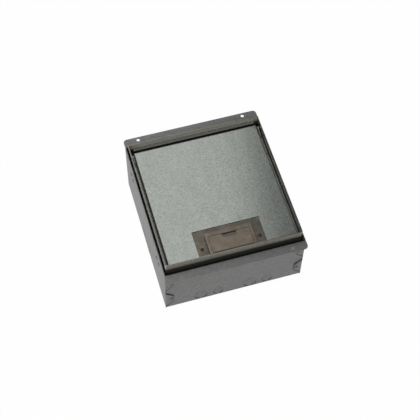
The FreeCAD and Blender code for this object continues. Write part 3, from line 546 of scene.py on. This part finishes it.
tree, source = plan("round_head_screw", "head", "head height", "slot", "shank", "length")
dome = add(tree, "GeometryNodeMeshUVSphere", {"Segments": 32, "Rings": 20, "Radius": 1.0})
width = scaled(tree, source["head"], 0.5)
spread = add(tree, "ShaderNodeCombineXYZ", {0: width, 1: width, 2: source["head height"]})
dome = moved(tree, dome.outputs[0], size=spread.outputs[0])
above = add(tree, "GeometryNodeMeshCube", {"Size": (0.02, 0.02, 0.02)})
above = moved(tree, above.outputs[0], z=0.01)
dome = add(tree, "GeometryNodeMeshBoolean", {1: dome}, operation="INTERSECT")
tree.links.new(above, dome.inputs[1])
bar = add(tree, "ShaderNodeCombineXYZ", {0: scaled(tree, source["head"], 2.0), 1: source["slot"],
                                        2: source["head height"]})
bar = add(tree, "GeometryNodeMeshCube", {"Size": bar.outputs[0]})
bar = moved(tree, bar.outputs[0], z=source["head height"])
head = add(tree, "GeometryNodeMeshBoolean", {0: dome.outputs[0], 1: bar}, operation="DIFFERENCE").outputs[0]
shank = add(tree, "GeometryNodeMeshCylinder", {"Vertices": 24, "Radius": scaled(tree, source["shank"], 0.5),
                                              "Depth": source["length"]})
shank = moved(tree, shank.outputs[0], z=scaled(tree, source["length"], -0.5))
set_on_points(tree, source, merged(tree, head, shank))

brass, tree, shader = blank_material("tarnished_brass")
place = add(tree, "ShaderNodeTexCoord").outputs["Object"]
spots = add(tree, "ShaderNodeTexNoise", {"Vector": place, "Scale": 420.0, "Detail": 4.0})
tree.links.new(ramp(tree, spots.outputs[0], [(0.30, "3a2a17"), (0.50, "66492a"), (0.72, "8f6c42")]),
               shader.inputs["Base Color"])
tree.links.new(remap(tree, spots.outputs[0], 0.3, 0.7, 0.50, 0.32), shader.inputs["Roughness"])
shader.inputs["Metallic"].default_value = 0.8
low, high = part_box("module_screws")
dome_height = 2.6 * MM
seat = high.z - dome_height
across = (high.y - low.y) / 2
places = [((x, (low.y + high.y) / 2, seat), (0, 0, 1), (math.cos(turn), math.sin(turn), 0))
          for x, turn in ((low.x + across, 0.6), (high.x - across, -0.3))]
screws = grown("brass_round_head_screws", bpy.data.node_groups["round_head_screw"], places, "lid", brass,
               **{"head": 2 * across, "head height": dome_height, "slot": 1.1 * MM, "shank": 4.2 * MM,
                  "length": seat - low.z})
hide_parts("module_screws")


# ---- Cover and device screws ------------------------------------------------------------------------
# Small slotted pan-head screws: one through the middle of each receptacle, two through each jack
# strap, and two that hold each cover's foot to the floor of the box. Bright zinc-plated steel.

cover_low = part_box("data_cover")[0]
sheet = 1.2 * MM
foot_edge, foot_width, panel_run, panel_top = cover_low.x, 13.0 * MM, 13.0 * MM, 87.0 * MM
device_row, strap_screw_reach, foot_row, foot_inset = 66.0 * MM, 41.6 * MM, 115.0 * MM, 5.5 * MM
heel = Vector((foot_edge + foot_width, 0, cover_low.z + sheet / 2))
corner = Vector((heel.x + panel_run, 0, panel_top - sheet / 2))
climb = (corner - heel).normalized()
outward = Vector((-climb.z, 0, climb.x))
middle = (heel + corner) / 2 + outward * sheet / 2
places = []
for row in (-device_row, device_row):
    places.append((Vector((-middle.x, row, middle.z)), Vector((-outward.x, 0, outward.z)), (0, 1, 0)))
    for side in (-1, 1):
        places.append((middle + Vector((0, row + side * strap_screw_reach, 0)), outward, (0, 1, 0)))
for side in (-1, 1):
    for row in (-foot_row, foot_row):
        places.append((Vector((side * (foot_edge + foot_inset), row, cover_low.z + sheet)), (0, 0, 1),
                       (1, 0.4 * side, 0)))
screws = grown("pan_head_screws", bpy.data.node_groups["round_head_screw"], places, "box", fastener_zinc,
               **{"head": 5.6 * MM, "head height": 1.8 * MM, "slot": 0.9 * MM, "shank": 3.5 * MM,
                  "length": 1.5 * MM})


# ---- Studio -----------------------------------------------------------------------------------------
# A pale floor, a white surround and soft lamps: a broad one over the rear that the lid mirrors on its
# left, one in front that throws short shadows under the proud edges, and a fill for the left side.

floor_mesh = bpy.data.meshes.new("studio_floor")
reach = 6.0
floor_mesh.from_pydata([(-reach, -reach, 0), (reach, -reach, 0), (reach, reach, 0), (-reach, reach, 0)], [],
                       [(0, 1, 2, 3)])
floor = bpy.data.objects.new("studio_floor", floor_mesh)
bpy.context.scene.collection.objects.link(floor)
material, tree, shader = blank_material("pale_studio_floor")
tree.nodes.remove(shader)
diffuse = add(tree, "ShaderNodeBsdfDiffuse", {"Color": (0.8, 0.8, 0.8, 1)})
glow = add(tree, "ShaderNodeEmission", {"Color": (1, 1, 1, 1), "Strength": 1.0})
path = add(tree, "ShaderNodeLightPath")
seen = add(tree, "ShaderNodeMath", {0: path.outputs["Is Camera Ray"], 1: path.outputs["Is Glossy Ray"]},
           operation="MAXIMUM")
seen = add(tree, "ShaderNodeMath", {0: seen.outputs[0], 1: path.outputs["Is Transmission Ray"]},
           operation="MAXIMUM")
share = add(tree, "ShaderNodeMath", {0: seen.outputs[0], 1: 0.985}, operation="MULTIPLY")
mixed = add(tree, "ShaderNodeMixShader", {0: share.outputs[0], 1: diffuse.outputs[0], 2: glow.outputs[0]})
tree.links.new(mixed.outputs[0], tree.nodes["Material Output"].inputs["Surface"])
floor_mesh.materials.append(material)

world = bpy.data.worlds.new("studio")
bpy.context.scene.world = world
world.use_nodes = True
tree = world.node_tree
tree.nodes.clear()
path = add(tree, "ShaderNodeLightPath")
sky = add(tree, "ShaderNodeSeparateXYZ", {0: add(tree, "ShaderNodeTexCoord").outputs["Generated"]}).outputs[0]
level = remap(tree, sky, 0.0, 0.5, 0.34, 0.03)
dim = add(tree, "ShaderNodeBackground", {"Color": (0.95, 0.97, 1.0, 1), "Strength": level})
white = add(tree, "ShaderNodeBackground", {"Color": (1, 1, 1, 1), "Strength": 1.0})
mixed = add(tree, "ShaderNodeMixShader", {0: path.outputs["Is Camera Ray"], 1: dim.outputs[0],
                                         2: white.outputs[0]})
add(tree, "ShaderNodeOutputWorld", {"Surface": mixed.outputs[0]})


def softbox(name, place, target, size, radiance):
    """Rectangular area lamp at a place, facing a target, with the brightness of its surface."""
    lamp = bpy.data.lights.new(name, "AREA")
    lamp.shape = "RECTANGLE"
    lamp.size, lamp.size_y = size
    lamp.energy = radiance * math.pi * size[0] * size[1]
    source = bpy.data.objects.new(name, lamp)
    bpy.context.scene.collection.objects.link(source)
    away = (Vector(place) - Vector(target)).normalized()
    source.matrix_world = Matrix.Translation(place) @ away.to_track_quat("Z", "Y").to_matrix().to_4x4()
    return source


rear = softbox("rear_softbox", (-0.31, 0.75, 1.30), (-0.31, 0.75, 0.0), (1.36, 1.50), 1.04)
rear_slant = -0.19
rear.rotation_euler.rotate_axis("Z", rear_slant)
softbox("front_key", (-0.75, -1.45, 1.9), (0, 0, 0.1), (0.7, 0.7), 6.0)
softbox("left_fill", (-2.3, -0.1, 0.9), (0, 0, 0.1), (1.0, 1.0), 1.9)

camera = bpy.data.cameras.new("camera")
camera.sensor_width = 36.0
camera.lens = 90.3
view = bpy.data.objects.new("camera", camera)
bpy.context.scene.collection.objects.link(view)
right = Vector((0.95926, -0.28222, 0.01314))
up = Vector((0.23509, 0.82313, 0.51691))
back = right.cross(up)
turn = Matrix((right, up, back)).transposed().to_4x4()
view.matrix_world = Matrix.Translation((-0.36764, -1.13690, 2.05305)) @ turn
bpy.context.scene.camera = view
bpy.context.scene.view_settings.view_transform = "Standard"
